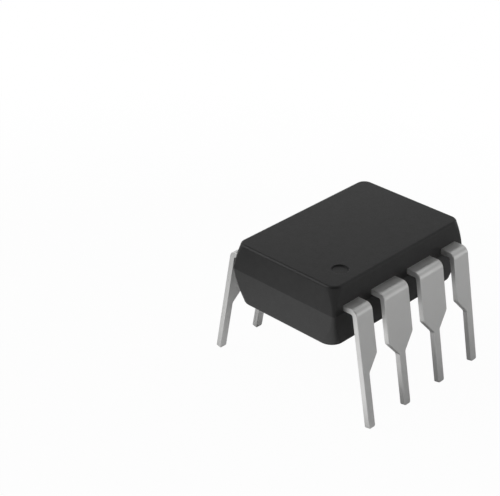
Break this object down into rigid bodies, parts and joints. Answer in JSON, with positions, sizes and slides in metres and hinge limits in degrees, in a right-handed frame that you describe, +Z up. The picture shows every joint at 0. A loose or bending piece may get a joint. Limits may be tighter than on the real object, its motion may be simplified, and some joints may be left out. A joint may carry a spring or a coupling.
{
  "type": "dip integrated circuit chip",
  "caption": "Dual in-line integrated circuit: a drafted black epoxy body with a corner dimple, and splayed tin-plated leads along both sides for a board or a socket.",
  "frame": {"origin": "centre of the footprint, at the height of the lead tips on which the part stands", "axes": "+X along the body's length, away from the end with the pin 1 dimple; +Y across the body, away from the side with leads 1 to 4; +Z up, out of the bare top"},
  "size_m": [0.0094, 0.0098, 0.0068],
  "materials": {
    "epoxy": "moulded black epoxy with a fine spark-eroded grain",
    "tin_plate": "matte tin plate on stamped lead frame",
    "frame_copper": "bare stamped copper alloy",
    "silver_epoxy": "silver-filled adhesive",
    "silicon": "polished silicon with a passivated face",
    "gold": "drawn gold wire"
  },
  "bodies": {
    "root": {"body": "epoxy", "lead_1": "tin_plate", "lead_2": "tin_plate", "lead_3": "tin_plate", "lead_4": "tin_plate", "lead_5": "tin_plate", "lead_6": "tin_plate", "lead_7": "tin_plate", "lead_8": "tin_plate", "die_pad": "frame_copper", "die_attach": "silver_epoxy", "die": "silicon", "bond_wire_1": "gold", "bond_wire_2": "gold", "bond_wire_3": "gold", "bond_wire_4": "gold", "bond_wire_5": "gold", "bond_wire_6": "gold", "bond_wire_7": "gold", "bond_wire_8": "gold"}
  },
  "joints": []
}
